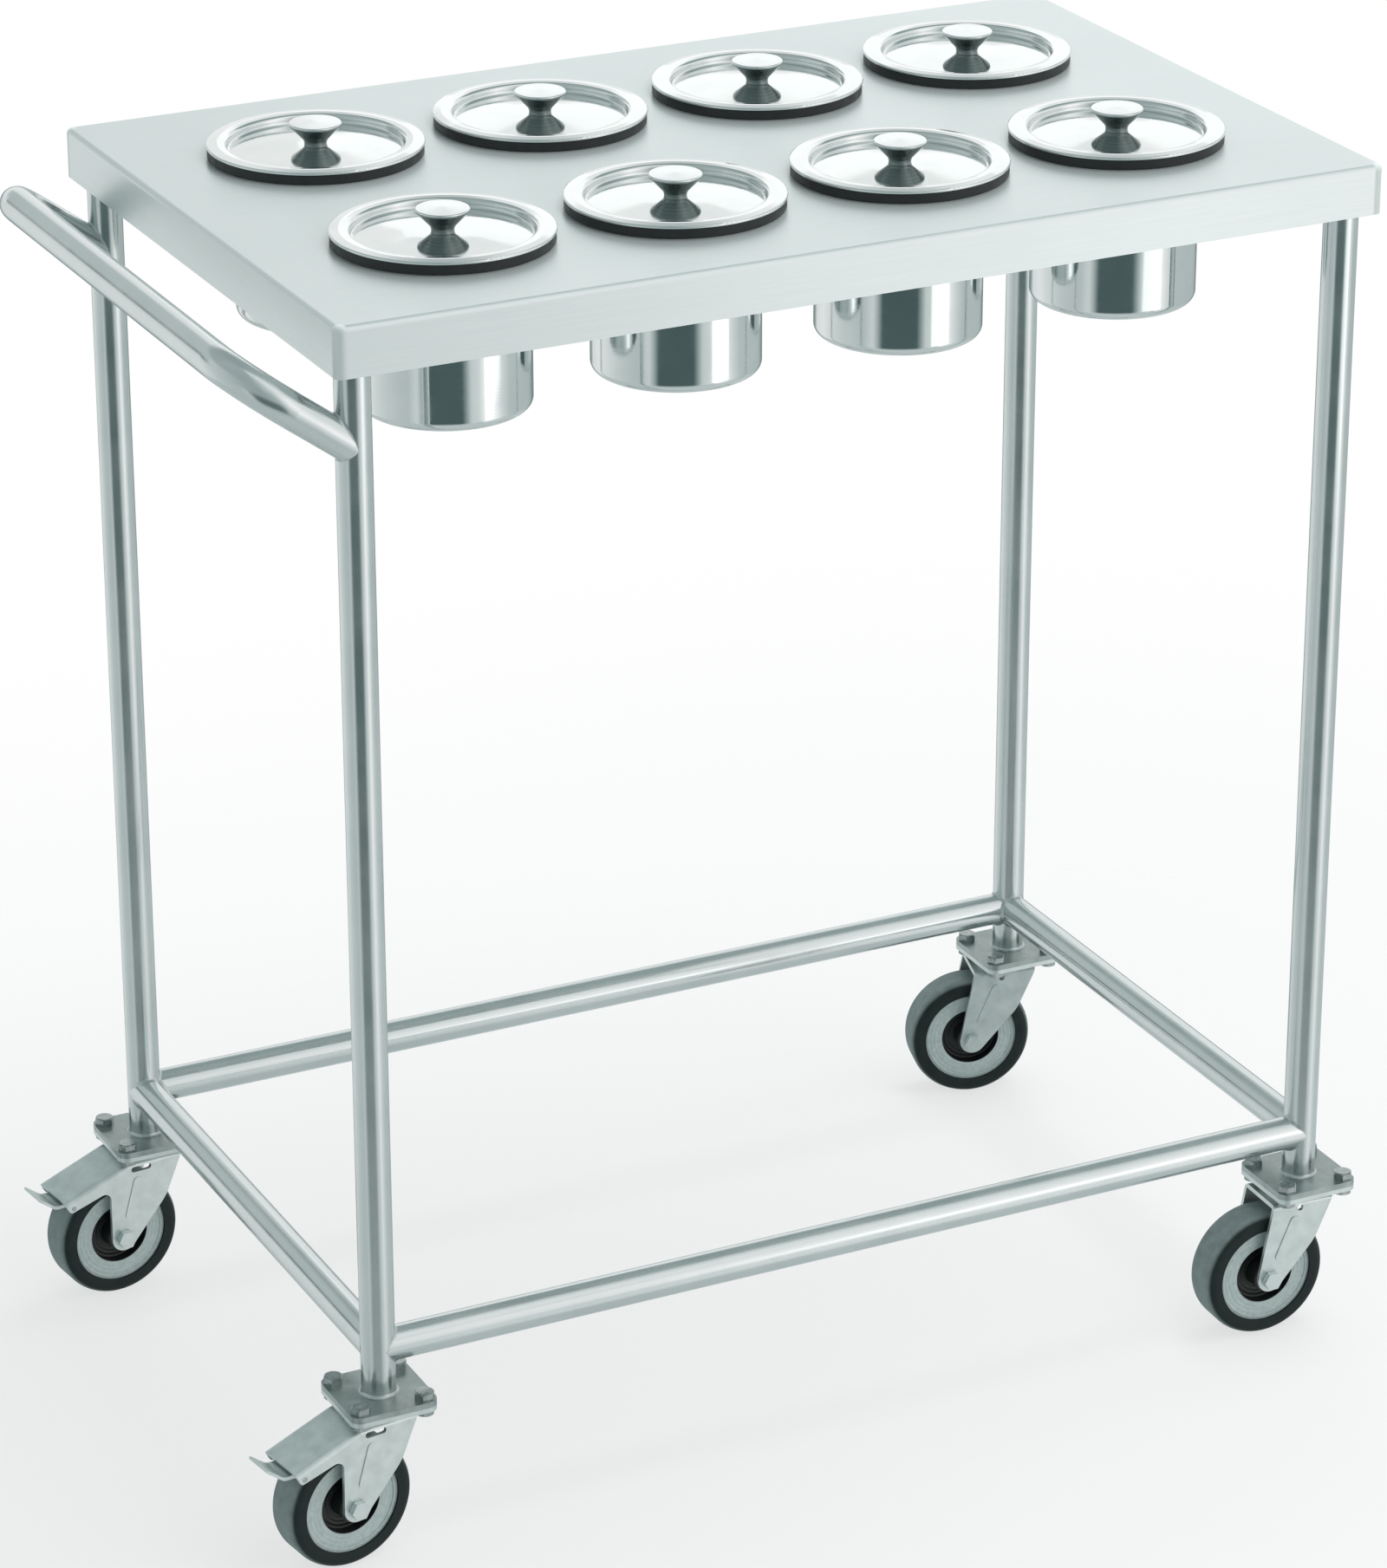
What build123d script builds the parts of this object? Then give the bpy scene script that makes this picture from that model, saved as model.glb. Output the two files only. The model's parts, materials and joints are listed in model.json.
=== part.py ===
from build123d import *
import math
import os

# Spice trolley: a folded sheet top on a tube frame with casters, with lidded pots hung in the top.
# Millimetres, +Z up, floor at Z = 0. X runs along the table, with the push handle at -X.
# The model is drawn about the centre of the table, then moved so that the origin lies on the
# floor under the middle of the outer box.

# Table top
table_length = 800.0
table_width = 500.0
table_height = 925.0
apron_depth = 36.0
panel_sheet = 1.5
bend_radius = 4.0
corner_radius = 6.0
hem_height = 12.0

# Pattern of pots
pot_columns = 4
pot_rows = 2
pot_pitch_x = 175.0
pot_pitch_y = 222.0
hole_clearance = 1.5

# Pots, with a stepped mouth that the lid sits down into, and the rings under their flanges
pot_diameter = 120.0
pot_drop = 118.0
pot_wall = 1.0
pot_base_radius = 7.0
mouth_step = 6.0
mouth_rise = 0.5
mouth_bend_radius = 1.0
pot_flange_width = 9.0
ring_height = 7.0
ring_gap = 0.5
ring_width = 10.5
ring_edge = 0.8

# Lids: a crowned rim round a shallow dish with a domed floor
lid_sheet = 1.0
lid_recess_depth = 6.0
lid_recess_gap = 1.0
lid_shoulder_radius = 3.0
lid_floor_radius = 2.0
lid_dome_rise = 4.0
lid_crown = 1.0
lid_skirt_gap = 1.6
lid_skirt_drop = 0.6

# Lid knobs
knob_diameter = 37.6
knob_foot_diameter = 16.0
knob_height = 16.7
knob_neck = 2.5
knob_flare_radius = 6.0
knob_rim = 2.0
knob_dome = 1.0

# Frame tubes
tube_diameter = 25.0
tube_wall = 1.5
leg_inset_x = 20.0
leg_inset_y = 23.0
stretcher_rise = 35.0
weld_gap = 0.15
leg_flange_reach = 40.0
leg_flange_thickness = 3.0
leg_flange_clip = 26.0

# Push handle
handle_joint_drop = 92.0
handle_reach = 78.0
handle_rise = 58.0
handle_bend_radius = 42.0

# Casters
wheel_diameter = 100.0
tyre_width = 32.0
tyre_thickness = 12.0
tyre_shoulder_radius = 7.0
tyre_fit_gap = 0.05
hub_ring_inset = 3.0
hub_recess_diameter = 46.8
hub_web = 10.0
hub_boss_diameter = 24.0
hub_lip = 0.8
hub_lip_width = 3.0
caster_trail = 33.0
fork_sheet = 3.0
fork_side_gap = 3.5
fork_bend_radius = 4.0
fork_front = 19.0
fork_rear = 32.0
fork_end_radius = 10.5
fork_knee_ahead = 37.0
fork_knee_up = 27.0
fork_knee_radius = 40.0
crown_clearance = 8.5
running_gap = 0.3
race_height = 5.2
race_diameter = 50.0
race_taper = 4.0
caster_plate_thickness = 3.5
foot_plate_thickness = 4.5
plate_size = 66.0
plate_corner_radius = 8.0
bolt_edge = 8.5
king_pin_diameter = 12.0
king_pin_head_diameter = 20.0
king_pin_head_height = 4.0
pin_clearance = 0.05

# How far each caster stands turned from straight ahead
turn_front_left = 8.0
turn_front_right = -2.0
turn_rear_left = 6.5
turn_rear_right = -15.5

# Caster fasteners
bolt_diameter = 8.0
bolt_hole_clearance = 0.5
hex_across_flats = 13.0
hex_edge_radius = 2.0
bolt_head_height = 5.5
nut_height = 6.5
thin_nut_height = 4.5
thread_end = 4.5
axle_bush_diameter = 12.0

# Holes in the fork sides near the crown
fork_hole_diameter = 5.0
fork_slot_length = 17.0
fork_slot_width = 4.5
fork_hole_drop = 5.5
fork_hole_back = 9.5
fork_slot_back = 16.5

# Stiffening rib pressed out of each fork side
rib_width = 8.0
rib_height = 0.8
rib_margin = 5.0

# Wheel brake: the pedal's pivot lies outside the tread, and its housing reaches just past the pivot
pedal_pivot_gap = 6.0
pedal_pivot_angle = 41.4
housing_crown_rear = 28.0
housing_end_back = 7.0
housing_end_up = 5.0
housing_end_height = 9.0
housing_end_lean = 4.0
housing_corner_back = 10.0
housing_corner_up = 43.5
housing_corner_radius = 6.0
housing_bend_radius = 12.0
pedal_side_gap = 7.0
pedal_hub_radius = 3.6
pedal_plate = 2.8
pedal_reach = 24.5
pedal_tip_lift = 11.0
pedal_dip = 1.0
pedal_dip_start = 7.0
pedal_dip_end = 11.0
pedal_cam_reach = 5.5
pedal_cam_radius = 2.4
pedal_press_angle = 20.0
brake_pin_diameter = 4.0

# Places worked out from the sizes above
tube_radius = tube_diameter / 2
leg_x = table_length / 2 - leg_inset_x
leg_y = table_width / 2 - leg_inset_y
wheel_radius = wheel_diameter / 2
fork_inner_width = tyre_width + 2 * fork_side_gap
hub_ring_width = tyre_width - 2 * hub_ring_inset
bolt_spacing = plate_size - 2 * bolt_edge
pedal_width = fork_inner_width - 2 * pedal_side_gap
fork_half_width = fork_inner_width / 2 + fork_sheet
crown_top = wheel_diameter + crown_clearance + fork_sheet
caster_plate_bottom = crown_top + running_gap + race_height
foot_plate_bottom = caster_plate_bottom + caster_plate_thickness
leg_bottom = foot_plate_bottom + foot_plate_thickness
stretcher_height = leg_bottom + stretcher_rise
handle_joint_height = table_height - handle_joint_drop
panel_underside = table_height - panel_sheet
leg_top = panel_underside - leg_flange_thickness
pot_radius = pot_diameter / 2
hole_radius = pot_radius + hole_clearance
mouth_radius = pot_radius + mouth_step
ring_inner_radius = mouth_radius + ring_gap
ring_top = table_height + ring_height
flange_top = ring_top + pot_wall
flange_radius = mouth_radius + pot_flange_width
lid_edge_floor = flange_top + lid_sheet - lid_recess_depth
lid_floor = lid_edge_floor + lid_dome_rise

ends = {"left": -1, "right": 1}
sides = {"front": -1, "rear": 1}
corners = {f"{side}_{end}": (ends[end] * leg_x, sides[side] * leg_y) for side in sides for end in ends}
braked_corners = [name for name in corners if name.endswith("left")]
caster_turns = {
    "front_left": turn_front_left,
    "front_right": turn_front_right,
    "rear_left": turn_rear_left,
    "rear_right": turn_rear_right,
}


def pot_places():
    """Names and centres of the pots, row by row from the left."""
    places = {}
    for row, side in enumerate(sides):
        for column in range(pot_columns):
            x = (column - (pot_columns - 1) / 2) * pot_pitch_x
            y = (row - (pot_rows - 1) / 2) * pot_pitch_y
            places[f"{side}_{column + 1}"] = (x, y)
    return places


def turned(points, radii):
    """A solid turned about Z from an outline of (radius, height) points with rounded corners."""
    outline = FilletPolyline(*[(r, 0, z) for r, z in points], radius=radii, close=True)
    return revolve(make_face(outline), Axis.Z)


def plate_outline(points, radii):
    """A face in the XZ plane from (x, z) points with rounded corners."""
    return make_face(FilletPolyline(*[(x, 0, z) for x, z in points], radius=radii, close=True))


def across(face, width):
    """A face in the XZ plane thickened to a width along Y, centred on the face."""
    return extrude(face, amount=width / 2, dir=(0, 1, 0), both=True)


def rod(diameter, length, place):
    """An upright round bar standing on a place."""
    x, y, z = place
    return Pos(x, y, z) * Cylinder(diameter / 2, length, align=(Align.CENTER, Align.CENTER, Align.MIN))


def cross_rod(diameter, length, x, z):
    """A round bar along Y, centred on Y = 0."""
    return Pos(x, 0, z) * Rot(90, 0, 0) * Cylinder(diameter / 2, length)


def hexagon(height):
    """A hexagonal bolt head or nut blank standing on Z = 0, with the corners of its top rounded off."""
    corner = hex_across_flats / math.sqrt(3)
    blank = extrude(RegularPolygon(hex_across_flats / 2, 6, major_radius=False), height)
    return blank & turned([(0, 0), (corner, 0), (corner, height), (0, height)], [0, 0, hex_edge_radius, 0])


# Table top


def folded_pan(length, width, depth, corner, bend):
    """A closed tray shape, top face up, with rounded upright corners and top edges."""
    pan = extrude(RectangleRounded(length, width, corner), depth)
    return fillet(pan.faces().sort_by(Axis.Z)[-1].edges(), bend)


def inset_outline(inset):
    """The table's outline in plan, moved inwards all round."""
    return RectangleRounded(table_length - 2 * inset, table_width - 2 * inset, corner_radius - inset)


def make_top_panel():
    apron_bottom = table_height - apron_depth
    outer = folded_pan(table_length, table_width, apron_depth, corner_radius, bend_radius)
    inside = folded_pan(
        table_length - 2 * panel_sheet,
        table_width - 2 * panel_sheet,
        apron_depth - panel_sheet,
        corner_radius - panel_sheet,
        bend_radius - panel_sheet,
    )
    hem = extrude(inset_outline(panel_sheet / 2) - inset_outline(2 * panel_sheet), hem_height)
    panel = Pos(0, 0, apron_bottom) * (outer - inside + hem)
    for x, y in pot_places().values():
        panel -= rod(2 * hole_radius, 2 * apron_depth, (x, y, table_height - apron_depth))
    return panel


def make_leg_flange(x, y):
    """The plate on top of one leg, with its inner corner clipped."""
    edge_gap = panel_sheet + bend_radius
    out_x = leg_inset_x - edge_gap
    out_y = leg_inset_y - edge_gap
    reach = leg_flange_reach
    clip = reach - leg_flange_clip
    points = [(out_x, out_y), (out_x, -reach), (-clip, -reach), (-reach, -clip), (-reach, out_y)]
    side_x = math.copysign(1, x)
    side_y = math.copysign(1, y)
    face = make_face(Polyline(*[(px * side_x, py * side_y) for px, py in points], close=True))
    return Pos(x, y, leg_top) * extrude(face, leg_flange_thickness, dir=(0, 0, 1))


# Tube frame


def leg_bore(x, y):
    """The space that a leg takes up, with room for the weld."""
    return rod(tube_diameter + 2 * weld_gap, table_height, (x, y, 0))


def make_leg(x, y):
    length = leg_top - leg_bottom
    tube = rod(tube_diameter, length, (x, y, leg_bottom))
    return tube - rod(tube_diameter - 2 * tube_wall, length, (x, y, leg_bottom))


def straight_tube(start, finish, diameter):
    line = Line(start, finish)
    return sweep(Plane(origin=start, z_dir=line % 0) * Circle(diameter / 2), path=line)


def make_stretchers():
    """Four tubes between the legs. The short ones are also coped round the long ones."""
    stretchers = {}
    bores = [leg_bore(x, y) for x, y in corners.values()]
    z = stretcher_height
    inside = tube_diameter - 2 * tube_wall
    room = tube_diameter + 2 * weld_gap
    long_rooms = []
    for side, sign in sides.items():
        start = (-leg_x, sign * leg_y, z)
        finish = (leg_x, sign * leg_y, z)
        tube = straight_tube(start, finish, tube_diameter) - straight_tube(start, finish, inside)
        stretchers[f"{side}_stretcher"] = tube - bores
        long_rooms.append(straight_tube(start, finish, room))
    for end, sign in ends.items():
        start = (sign * leg_x, -leg_y, z)
        finish = (sign * leg_x, leg_y, z)
        tube = straight_tube(start, finish, tube_diameter) - straight_tube(start, finish, inside)
        stretchers[f"{end}_stretcher"] = tube - bores - long_rooms
    return stretchers


def make_push_handle():
    bar_x = -leg_x - handle_reach
    bar_z = handle_joint_height + handle_rise
    points = [
        (-leg_x, -leg_y, handle_joint_height),
        (bar_x, -leg_y, bar_z),
        (bar_x, leg_y, bar_z),
        (-leg_x, leg_y, handle_joint_height),
    ]
    path = FilletPolyline(*points, radius=handle_bend_radius)
    start = Plane(origin=points[0], z_dir=path % 0)
    tube = sweep(start * Circle(tube_radius), path=path)
    tube -= sweep(start * Circle(tube_radius - tube_wall), path=path)
    return tube - leg_bore(-leg_x, -leg_y) - leg_bore(-leg_x, leg_y)


# Pots, rings, lids and knobs, each turned about its own upright axis


def make_pot():
    """A drawn cup whose mouth steps out above the table, then out again to the flange on the ring."""
    inner = pot_radius - pot_wall
    bottom = table_height - pot_drop
    ledge = table_height + mouth_rise
    points = [
        (0, bottom + pot_wall),
        (inner, bottom + pot_wall),
        (inner, ledge + pot_wall),
        (mouth_radius - pot_wall, ledge + pot_wall),
        (mouth_radius - pot_wall, flange_top),
        (flange_radius, flange_top),
        (flange_radius, ring_top),
        (mouth_radius, ring_top),
        (mouth_radius, ledge),
        (pot_radius, ledge),
        (pot_radius, bottom),
        (0, bottom),
    ]
    base_inside = pot_base_radius - pot_wall
    tight = mouth_bend_radius
    wide = mouth_bend_radius + pot_wall
    return turned(points, [0, base_inside, wide, tight, wide, 0, 0, tight, wide, tight, pot_base_radius, 0])


def make_seat_ring():
    outer = ring_inner_radius + ring_width
    foot = table_height
    points = [(ring_inner_radius, foot), (outer, foot), (outer, ring_top), (ring_inner_radius, ring_top)]
    return turned(points, [0, ring_edge, ring_edge, ring_edge])


def make_lid():
    """A dished cover: a crowned rim with a short skirt over the flange, and a sunk, domed floor."""
    wall_out = mouth_radius - pot_wall - lid_recess_gap
    wall_in = wall_out - lid_sheet
    flat = knob_foot_diameter / 2 + lid_sheet
    dome_start = 2 * flat
    dome_slope = math.atan2(lid_dome_rise, wall_in - dome_start)
    dome_radius = flat / math.tan(dome_slope / 2)
    skirt_in = flange_radius + lid_skirt_gap
    skirt_out = skirt_in + lid_sheet
    skirt_bottom = flange_top - lid_skirt_drop
    top = flange_top + lid_sheet
    middle = (wall_out + skirt_in) / 2
    crown_radius = (skirt_in - wall_out) ** 2 / (16 * lid_crown)
    points = [
        (0, lid_floor),
        (dome_start, lid_floor),
        (wall_in, lid_edge_floor),
        (wall_in, top),
        (middle, top + lid_crown),
        (skirt_out, top),
        (skirt_out, skirt_bottom),
        (skirt_in, skirt_bottom),
        (skirt_in, flange_top),
        (middle, flange_top + lid_crown),
        (wall_out, flange_top),
        (wall_out, lid_edge_floor - lid_sheet),
        (dome_start, lid_floor - lid_sheet),
        (0, lid_floor - lid_sheet),
    ]
    shoulder_inside = lid_shoulder_radius - lid_sheet
    floor_outside = lid_floor_radius + lid_sheet
    skirt_bend = lid_sheet
    radii = [0, dome_radius, lid_floor_radius, lid_shoulder_radius, crown_radius, skirt_bend, 0]
    radii += [0, 0, crown_radius, shoulder_inside, floor_outside, dome_radius, 0]
    return turned(points, radii)


def make_lid_knob():
    """A turned knob: a short neck that flares out to a wide rim."""
    foot = knob_foot_diameter / 2
    rim = knob_diameter / 2
    rim_height = lid_floor + knob_height - knob_dome
    points = [
        (0, lid_floor),
        (foot, lid_floor),
        (foot, lid_floor + knob_neck),
        (rim, rim_height - knob_rim),
        (rim, rim_height),
        (0, rim_height + knob_dome),
    ]
    return turned(points, [0, 0, knob_flare_radius, knob_rim / 3, knob_rim / 2, 0])


# Caster plates and fasteners


def bolt_places(x, y):
    half = bolt_spacing / 2
    return [(x + half * i, y + half * j) for i in (-1, 1) for j in (-1, 1)]


def bolted_plate(x, y, bottom, thickness):
    """A square plate with rounded corners and four bolt holes, about an upright axis."""
    outline = RectangleRounded(plate_size, plate_size, plate_corner_radius)
    plate = Pos(x, y, bottom) * extrude(outline, thickness)
    hole = bolt_diameter + 2 * bolt_hole_clearance
    for bolt_x, bolt_y in bolt_places(x, y):
        plate -= rod(hole, thickness, (bolt_x, bolt_y, bottom))
    return plate


def make_caster_plate(x, y):
    """Caster top plate with the pressed race that the fork turns under."""
    plate = bolted_plate(x, y, caster_plate_bottom, caster_plate_thickness)
    race_bottom = caster_plate_bottom - race_height
    wide = race_diameter / 2
    narrow = wide - race_taper
    race_top = caster_plate_bottom
    points = [(0, race_bottom), (narrow, race_bottom), (wide, race_top), (0, race_top)]
    plate += Pos(x, y, 0) * turned(points, [0, race_taper / 2, 0, 0])
    hole = king_pin_diameter + 2 * pin_clearance
    return plate - rod(hole, foot_plate_bottom, (x, y, 0))


def make_king_pin(x, y):
    """The swivel rivet, flush with the caster plate, with its head under the fork crown."""
    head_top = crown_top - fork_sheet - running_gap
    head_bottom = head_top - king_pin_head_height
    shank = rod(king_pin_diameter, foot_plate_bottom - head_bottom, (x, y, head_bottom))
    return shank + rod(king_pin_head_diameter, king_pin_head_height, (x, y, head_bottom))


def make_plate_bolt(x, y):
    """One bolt with its head on the foot plate, and its nut flush under the caster plate."""
    nut_bottom = caster_plate_bottom - thin_nut_height
    bolt = Pos(x, y, leg_bottom) * hexagon(bolt_head_height)
    bolt += rod(bolt_diameter, leg_bottom - nut_bottom, (x, y, nut_bottom))
    nut = Pos(x, y, caster_plate_bottom) * Rot(180, 0, 0) * hexagon(thin_nut_height)
    return [bolt, nut - rod(bolt_diameter + 2 * pin_clearance, thin_nut_height, (x, y, nut_bottom))]


# Casters, drawn with the swivel axis on X = Y = 0 and the wheel trailing towards -X

axle_x = -caster_trail
axle_z = wheel_radius


def grazing_direction(corner, side):
    """Unit vector from the axle to where a line from a corner touches the round end of the fork."""
    away_x = corner[0] - axle_x
    away_z = corner[1] - axle_z
    turn = side * math.acos(fork_end_radius / math.hypot(away_x, away_z))
    angle = math.atan2(away_z, away_x) + turn
    return math.cos(angle), math.sin(angle)


def fork_tip(rear_corner):
    """The corner that the two edges of a fork leg run to, before it is rounded about the axle."""
    ax, az = grazing_direction(front_knee, -1)
    bx, bz = grazing_direction(rear_corner, 1)
    scale = fork_end_radius / (1 + ax * bx + az * bz)
    return axle_x + (ax + bx) * scale, axle_z + (az + bz) * scale


front_corner = (fork_front, crown_top)
front_knee = (axle_x + fork_knee_ahead, axle_z + fork_knee_up)
pedal_pivot_back = (wheel_radius + pedal_pivot_gap) * math.cos(math.radians(pedal_pivot_angle))
pedal_pivot_up = (wheel_radius + pedal_pivot_gap) * math.sin(math.radians(pedal_pivot_angle))
pedal_pivot = (axle_x - pedal_pivot_back, axle_z + pedal_pivot_up)
housing_end = (pedal_pivot[0] - housing_end_back, pedal_pivot[1] + housing_end_up)
housing_heel = (housing_end[0] + housing_end_lean, housing_end[1] - housing_end_height)
housing_corner = (axle_x - housing_corner_back, axle_z + housing_corner_up)
housing_slope = math.atan2(crown_top - housing_end[1], -housing_crown_rear - housing_end[0])


def plain_fork_outline():
    rear_corner = (-fork_rear, crown_top)
    points = [front_corner, rear_corner, fork_tip(rear_corner), front_knee]
    return plate_outline(points, [0, 0, fork_end_radius, fork_knee_radius])


def brake_fork_outline():
    crown_corner = (-housing_crown_rear, crown_top)
    points = [front_corner, crown_corner, housing_end, housing_heel, housing_corner]
    points += [fork_tip(housing_corner), front_knee]
    heel_radius = fork_sheet
    radii = [0, housing_bend_radius, 0, heel_radius, housing_corner_radius]
    return plate_outline(points, radii + [fork_end_radius, fork_knee_radius])


def fork_inside(braked):
    """The space under the crown and between the sides. A braked fork's roof slopes down at the rear."""
    roof = crown_top - fork_sheet
    far = 4 * wheel_radius
    points = [(-far, -far), (far, -far), (far, roof)]
    radii = [0, 0, 0]
    rear_roof = roof
    if braked:
        bend_x = -housing_crown_rear + fork_sheet * math.tan(housing_slope / 2)
        rear_roof = roof - (bend_x + far) * math.tan(housing_slope)
        points.append((bend_x, roof))
        radii.append(housing_bend_radius - fork_sheet)
    points.append((-far, rear_roof))
    radii.append(0)
    return across(plate_outline(points, radii), fork_inner_width)


def fork_rib(hole_x, hole_z, width):
    """The face of a rib along the line from the axle to the hole near the crown."""
    run_x = hole_x - axle_x
    run_z = hole_z - axle_z
    run = math.hypot(run_x, run_z)
    start = fork_end_radius + rib_margin + rib_width / 2
    finish = run - fork_slot_width / 2 - rib_margin - rib_width / 2
    middle = (start + finish) / 2 / run
    slot = Rot(0, 0, math.degrees(math.atan2(run_z, run_x))) * SlotCenterToCenter(finish - start, width)
    return Plane.XZ * Pos(axle_x + run_x * middle, axle_z + run_z * middle) * slot


def make_fork(braked):
    """A stamped channel: crown, two sides down to the axle and, if braked, a housing over the wheel."""
    outline = brake_fork_outline() if braked else plain_fork_outline()
    block = across(outline, 2 * fork_half_width)
    upward = math.cos(math.radians(45))
    top_faces = block.faces().filter_by(lambda face: face.normal_at().Z > upward)
    side_edges = top_faces.edges().group_by(lambda edge: abs(edge.center().Y))[-1]
    fork = fillet(side_edges, fork_bend_radius) - fork_inside(braked)
    fork -= rod(king_pin_diameter + 2 * pin_clearance, 2 * fork_sheet, (0, 0, crown_top - 1.5 * fork_sheet))
    hole_x = -fork_slot_back if braked else -fork_hole_back
    hole_z = crown_top - fork_hole_drop
    rib = across(fork_rib(hole_x, hole_z, rib_width), 2 * (fork_half_width + rib_height))
    fork += rib - across(fork_rib(hole_x, hole_z, rib_width), fork_inner_width)
    fork -= across(fork_rib(hole_x, hole_z, rib_width - 2 * rib_height), fork_inner_width + 2 * rib_height)
    through = 3 * fork_half_width
    fork -= cross_rod(bolt_diameter + 2 * pin_clearance, through, axle_x, axle_z)
    if braked:
        fork -= cross_rod(brake_pin_diameter + 2 * pin_clearance, through, *pedal_pivot)
        slot = Plane.XZ * SlotOverall(fork_slot_length, fork_slot_width)
        fork -= Pos(hole_x, 0, hole_z) * across(slot, through)
    else:
        fork -= cross_rod(fork_hole_diameter, through, hole_x, hole_z)
    return fork


def make_axle():
    """Axle bolt with its head at the front, the nut behind and the bush that the hub turns on."""
    face_y = fork_half_width
    tip_y = face_y + nut_height + thread_end / 2
    along = Pos(axle_x, -face_y, axle_z) * Rot(-90, 0, 0)
    bolt = along * Pos(0, 0, -bolt_head_height) * hexagon(bolt_head_height)
    bolt += along * rod(bolt_diameter, face_y + tip_y, (0, 0, 0))
    bore = cross_rod(bolt_diameter + 2 * pin_clearance, 4 * tip_y, axle_x, axle_z)
    nut = along * Pos(0, 0, 2 * face_y) * hexagon(nut_height) - bore
    bush = cross_rod(axle_bush_diameter, fork_inner_width, axle_x, axle_z) - bore
    return [bolt, nut, bush]


def on_axle(solid):
    """A solid turned about Z, laid on the axle line."""
    return Pos(axle_x, 0, axle_z) * Rot(90, 0, 0) * solid


def make_wheel_hub():
    """Wheel centre: a wide rim with a raised lip, a thin web sunk on both sides, and a boss."""
    bore = axle_bush_diameter / 2 + pin_clearance
    boss = hub_boss_diameter / 2
    recess = hub_recess_diameter / 2
    rim = wheel_radius - tyre_thickness - tyre_fit_gap
    lip = rim - hub_lip_width
    boss_end = fork_inner_width / 2 - running_gap
    web = hub_web / 2
    face = hub_ring_width / 2
    half = [(bore, boss_end), (boss, boss_end), (boss, web), (recess, web), (recess, face)]
    half += [(lip, face), (lip, face + hub_lip), (rim, face + hub_lip)]
    other_half = [(r, -z) for r, z in reversed(half)]
    soft = hub_lip / 2
    radii = [0, soft, 2 * soft, 2 * soft, 2 * soft, 0, 0, 0]
    return on_axle(turned(half + other_half, radii + radii[::-1]))


def make_tyre():
    inner = wheel_radius - tyre_thickness
    half = tyre_width / 2
    points = [(inner, -half), (wheel_radius, -half), (wheel_radius, half), (inner, half)]
    return on_axle(turned(points, [0, tyre_shoulder_radius, tyre_shoulder_radius, 0]))


def make_brake_pedal():
    """Toe plate and cam on one hub. Pressing the toe turns the cam towards the tyre."""
    pivot_x, pivot_z = pedal_pivot
    towards_tyre = math.atan2(-pedal_pivot_up, pedal_pivot_back)
    cam_angle = towards_tyre - math.radians(pedal_press_angle)
    cam_offset = pedal_cam_reach - pedal_cam_radius
    cam = Pos(cam_offset * math.cos(cam_angle), cam_offset * math.sin(cam_angle)) * Circle(pedal_cam_radius)
    half_plate = pedal_plate / 2
    tip = (-pedal_reach, pedal_tip_lift - half_plate)
    middle_line = [(0, -half_plate / 2), (-pedal_dip_start, -pedal_dip), (-pedal_dip_end, -pedal_dip), tip]
    upper = [(x, z + half_plate) for x, z in middle_line]
    lower = [(x, z - half_plate) for x, z in reversed(middle_line)]
    smooth = 3 * pedal_plate
    radii = [0, smooth, smooth, half_plate / 2, half_plate / 2, smooth, smooth, 0]
    toe = make_face(FilletPolyline(*(upper + lower), radius=radii, close=True))
    profile = toe + Circle(pedal_hub_radius) + cam - Circle(brake_pin_diameter / 2 + pin_clearance)
    return Pos(pivot_x, 0, pivot_z) * across(Plane.XZ * profile, pedal_width)


def make_brake_pin():
    return cross_rod(brake_pin_diameter, 2 * fork_half_width, *pedal_pivot)


# The whole trolley, node by node


def make_nodes():
    """Every node's name with its list of solids, drawn about the centre of the table."""
    nodes = {"top_panel": [make_top_panel()]}
    for name, place in corners.items():
        nodes[f"leg_{name}"] = [make_leg(*place)]
    for name, tube in make_stretchers().items():
        nodes[name] = [tube]
    nodes["push_handle"] = [make_push_handle()]

    feet = list(corners.values())
    nodes["leg_flanges"] = [make_leg_flange(*place) for place in feet]
    nodes["foot_plates"] = [bolted_plate(*place, foot_plate_bottom, foot_plate_thickness) for place in feet]
    nodes["caster_plates"] = [make_caster_plate(*place) for place in feet]
    nodes["king_pins"] = [make_king_pin(*place) for place in feet]
    bolts = [bolt for place in feet for bolt in bolt_places(*place)]
    nodes["plate_bolts"] = [piece for bolt in bolts for piece in make_plate_bolt(*bolt)]

    pots = pot_places()
    ring = make_seat_ring()
    nodes["seat_rings"] = [Pos(x, y, 0) * ring for x, y in pots.values()]
    for kind, solid in (("pot", make_pot()), ("lid", make_lid()), ("lid_knob", make_lid_knob())):
        for name, (x, y) in pots.items():
            nodes[f"{kind}_{name}"] = [Pos(x, y, 0) * solid]

    forks = {True: make_fork(True), False: make_fork(False)}
    shared = {"axle": make_axle(), "wheel_hub": [make_wheel_hub()], "tyre": [make_tyre()]}
    brake = {"brake_pedal": [make_brake_pedal()], "brake_pin": [make_brake_pin()]}
    for name, (x, y) in corners.items():
        braked = name in braked_corners
        pieces = {"fork": [forks[braked]], **shared}
        if braked:
            pieces.update(brake)
        place = Pos(x, y, 0) * Rot(0, 0, caster_turns[name])
        for kind, solids in pieces.items():
            nodes[f"{kind}_{name}"] = [place * solid for solid in solids]
    return nodes


nodes = make_nodes()
outer_box = Compound([solid for solids in nodes.values() for solid in solids]).bounding_box()
to_origin = Pos(-outer_box.center().X, -outer_box.center().Y, -outer_box.min.Z)

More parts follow.
